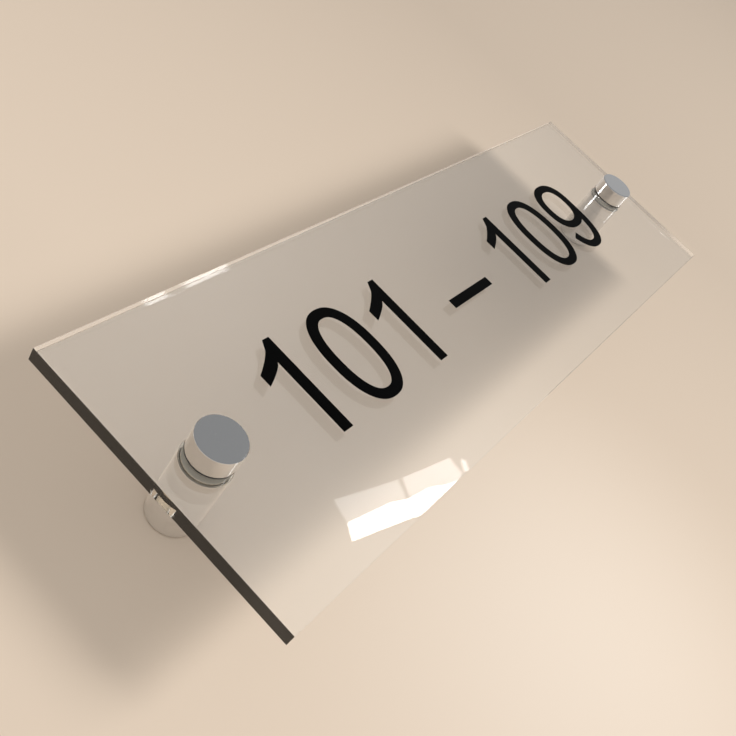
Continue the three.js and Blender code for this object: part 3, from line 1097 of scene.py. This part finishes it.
def make_windows(stage):
    """The windows round the viewer, each flat and facing the plate. A pane's corners are given to the
    right of the window's middle and above it, as seen by one who looks through it at the plate. The last
    two light the metal's sides by way of the panel, and a single mirroring doesn't show them."""
    for name, place, panes, mirrorings in (
        ("stage_window", stage.window_place, WINDOW_PANES, 1),
        ("stage_low_window", stage.low_window_place, LOW_WINDOW_PANES, 1),
        ("stage_side_window", stage.side_window_place, SIDE_WINDOW_PANES, 2),
        ("stage_high_window", stage.high_window_place, HIGH_WINDOW_PANES, 2),
    ):
        middle = np.array(place)
        side = np.cross([0, 0, 1], middle)
        side /= np.linalg.norm(side)
        up = np.cross(middle, side) / np.linalg.norm(middle)
        corners = np.array([pane for _, pane in panes]).reshape(-1, 2) * MM
        points = middle + corners[:, :1] * side + corners[:, 1:] * up
        window = stage_piece(name, points, window_light, stage)
        for label, values in zip(PANE_VALUES, ([bright for bright, _ in panes], [mirrorings] * len(panes))):
            window.data.attributes.new(label, "FLOAT", "FACE").data.foreach_set("value", values)
        window.visible_camera = window.visible_diffuse = window.visible_shadow = False


def make_lamp(stage):
    """The square soft key lamp, whose shadows fall to the upper left. Only matt surfaces meet it."""
    lamp = bpy.data.lights.new("key_lamp", "AREA")
    lamp.size = stage.key_size
    lamp.energy = stage.key_power
    holder = added("key_lamp", lamp)
    holder.location = stage.key_place
    way = Vector(stage.key_aim) - Vector(stage.key_place)
    holder.rotation_euler = way.to_track_quat("-Z", "Y").to_euler()
    holder.visible_camera = holder.visible_transmission = holder.visible_glossy = False


def make_room(stage):
    """The world: the room's light for surfaces and metal, and a pale backdrop for what is seen straight
    or through the clear pieces. Shadow rays don't look for it, since clear pieces dim them more. What is
    mirrored changes from left to right: the sheet's sharp reflections darken to both sides, and those in
    metal grow lighter to the right."""
    world = bpy.data.worlds.new("room")
    bpy.context.scene.world = world
    world.cycles.sampling_method = "NONE"
    world.use_nodes = True
    tree = world.node_tree
    tree.nodes.clear()
    rays = node(tree, "ShaderNodeLightPath")
    mirror = maths(tree, "GREATER_THAN", rays.outputs["Glossy Depth"], 0.5)
    straight = maths(tree, "SUBTRACT", 1.0, mirror)
    through = maths(tree, "MULTIPLY", rays.outputs["Is Transmission Ray"], straight)
    seen = maths(tree, "MAXIMUM", rays.outputs["Is Camera Ray"], through)
    room = blended(tree, mirror, colour(stage.room), colour(stage.mirrored))
    light = blended(tree, seen, room, colour(stage.backdrop))
    way = parts(tree, "Object")["X"]
    metal = spread(tree, way, *METAL_SHADES)
    sheet = maths(tree, "MINIMUM", *(spread(tree, way, *shades) for shades in SHEET_SHADES))
    extra = maths(tree, "MULTIPLY", maths(tree, "SUBTRACT", sheet, metal), rays.outputs["Is Singular Ray"])
    level = maths(tree, "SUBTRACT", maths(tree, "ADD", metal, extra), 1.0)
    strength = maths(tree, "ADD", 1.0, maths(tree, "MULTIPLY", mirror, level))
    background = node(tree, "ShaderNodeBackground", {"Color": light, "Strength": strength})
    node(tree, "ShaderNodeOutputWorld", {"Surface": background.outputs[0]})


def make_camera(stage):
    """The camera, as the photograph was taken."""
    lens = bpy.data.cameras.new("camera")
    lens.lens = stage.camera_lens
    lens.clip_start = 0.01
    camera = added("camera", lens)
    camera.location = stage.camera_place
    sight = Vector(stage.camera_aim) - Vector(stage.camera_place)
    camera.rotation_mode = "QUATERNION"
    camera.rotation_quaternion = sight.to_track_quat("-Z", "Y") @ Quaternion((0, 0, 1), stage.camera_roll)
    bpy.context.scene.camera = camera


def make_sides(*pieces):
    """Makes pieces of the left and then of the right standoff, each in place of its node. A piece is given
    by its kind, part and slot, its body, with {} for the side, and its shape, which is a function of the
    node's name and of the values after it."""
    for side in SIDES:
        for kind, part, slot, body, shape, *values in pieces:
            name = f"{side}_{kind}"
            mesh_piece(f"{name}_{part}", shape(name, *values), body.format(side), slot, [name])
    return {"FINISHED"}


class PieceOperator:
    """What the operators of this panel share"""

    bl_options = {"REGISTER", "UNDO"}


class PLATE_OT_panel(PieceOperator, bpy.types.Operator):
    """Makes the clear panel with its two holes"""

    bl_idname = "plate.panel"
    bl_label = "Panel"

    def execute(self, context):
        surface = panel_surface(context.scene.plate_sizes.panel_bevel)
        mesh_piece("panel_sheet", surface, PANEL_BODY, "clear_acrylic", ["panel"])
        return {"FINISHED"}


class PLATE_OT_numerals(PieceOperator, bpy.types.Operator):
    """Makes the numerals of cut film on the panel's front"""

    bl_idname = "plate.numerals"
    bl_label = "Numerals"

    def execute(self, context):
        sizes = context.scene.plate_sizes
        surface = numerals_surface(sizes.numeral_height, sizes.numeral_baseline)
        mesh_piece("numerals", surface, PANEL_BODY, "black_vinyl")
        return {"FINISHED"}


class PLATE_OT_caps(PieceOperator, bpy.types.Operator):
    """Makes the two turned caps"""

    bl_idname = "plate.caps"
    bl_label = "Caps"

    def execute(self, context):
        return make_sides(("cap", "head", "polished_chrome", "{}_cap", cap_surface))


class PLATE_OT_barrels(PieceOperator, bpy.types.Operator):
    """Makes the two turned barrels"""

    bl_idname = "plate.barrels"
    bl_label = "Barrels"

    def execute(self, context):
        return make_sides(("barrel", "tube", "polished_chrome", PANEL_BODY, barrel_surface))


class PLATE_OT_studs(PieceOperator, bpy.types.Operator):
    """Makes the two threaded studs"""

    bl_idname = "plate.studs"
    bl_label = "Studs"

    def execute(self, context):
        pitch = context.scene.plate_sizes.stud_pitch
        return make_sides(("stud", "thread", "zinc_plated_steel", "{}_cap", stud_surface, pitch))


class PLATE_OT_washers(PieceOperator, bpy.types.Operator):
    """Makes the washers on both faces of the panel and the sleeves in its holes"""

    bl_idname = "plate.washers"
    bl_label = "Washers and Sleeves"

    def execute(self, context):
        return make_sides(
            ("front_washer", "ring", "black_rubber", "{}_washer", ring_surface, WASHER_BORE, RUBBER_BULGE),
            ("rear_washer", "ring", "clear_nylon", PANEL_BODY, ring_surface, WASHER_BORE),
            ("hole_sleeve", "ring", "clear_nylon", PANEL_BODY, ring_surface, SLEEVE_BORE),
        )


class PLATE_OT_screws(PieceOperator, bpy.types.Operator):
    """Makes the two countersunk wood screws"""

    bl_idname = "plate.screws"
    bl_label = "Wood Screws"

    def execute(self, context):
        pitch = context.scene.plate_sizes.screw_pitch
        return make_sides(("wall_screw", "thread", "zinc_plated_steel", PANEL_BODY, screw_surface, pitch))


class PLATE_OT_plugs(PieceOperator, bpy.types.Operator):
    """Makes the two ribbed wall plugs"""

    bl_idname = "plate.plugs"
    bl_label = "Wall Plugs"

    def execute(self, context):
        return make_sides(("wall_plug", "shell", "grey_nylon", PANEL_BODY, plug_surface))


class PLATE_OT_stage(PieceOperator, bpy.types.Operator):
    """Makes the wall, the mirrored windows, the lamp, the room's light and the camera"""

    bl_idname = "plate.stage"
    bl_label = "Stage"

    def execute(self, context):
        stage = context.scene.plate_stage
        for make in (make_wall, make_windows, make_lamp, make_room, make_camera):
            make(stage)
        context.scene.view_settings.view_transform = "Standard"
        for kind in ("max_bounces", "glossy_bounces", "transmission_bounces"):
            setattr(context.scene.cycles, kind, GLASS_BOUNCES)
        return {"FINISHED"}


class PLATE_PT_sidebar(bpy.types.Panel):
    """Lists the pieces and their settings"""

    bl_label = "Name Plate"
    bl_idname = "PLATE_PT_sidebar"
    bl_space_type = "VIEW_3D"
    bl_region_type = "UI"
    bl_category = "Name Plate"

    def draw(self, context):
        for operator in OPERATORS:
            self.layout.operator(operator.bl_idname)
        for title in SETTINGS:
            box = self.layout.box()
            settings = getattr(context.scene, title)
            for name in settings.bl_rna.properties.keys():
                if name not in ("rna_type", "name"):
                    box.prop(settings, name)


SETTINGS = {"plate_sizes": PlateSizes, "plate_finishes": PlateFinishes, "plate_stage": PlateStage}
OPERATORS = (
    PLATE_OT_stage,
    PLATE_OT_panel,
    PLATE_OT_numerals,
    PLATE_OT_caps,
    PLATE_OT_barrels,
    PLATE_OT_studs,
    PLATE_OT_washers,
    PLATE_OT_screws,
    PLATE_OT_plugs,
)


def register():
    for kind in (*SETTINGS.values(), *OPERATORS, PLATE_PT_sidebar):
        bpy.utils.register_class(kind)
    for title, kind in SETTINGS.items():
        setattr(bpy.types.Scene, title, PointerProperty(type=kind))


def unregister():
    for title in SETTINGS:
        delattr(bpy.types.Scene, title)
    for kind in reversed((*SETTINGS.values(), *OPERATORS, PLATE_PT_sidebar)):
        bpy.utils.unregister_class(kind)


def main():
    """Makes every piece and the stage."""
    register()
    for operator in OPERATORS:
        group, name = operator.bl_idname.split(".")
        getattr(getattr(bpy.ops, group), name)()


if __name__ == "__main__":
    main()
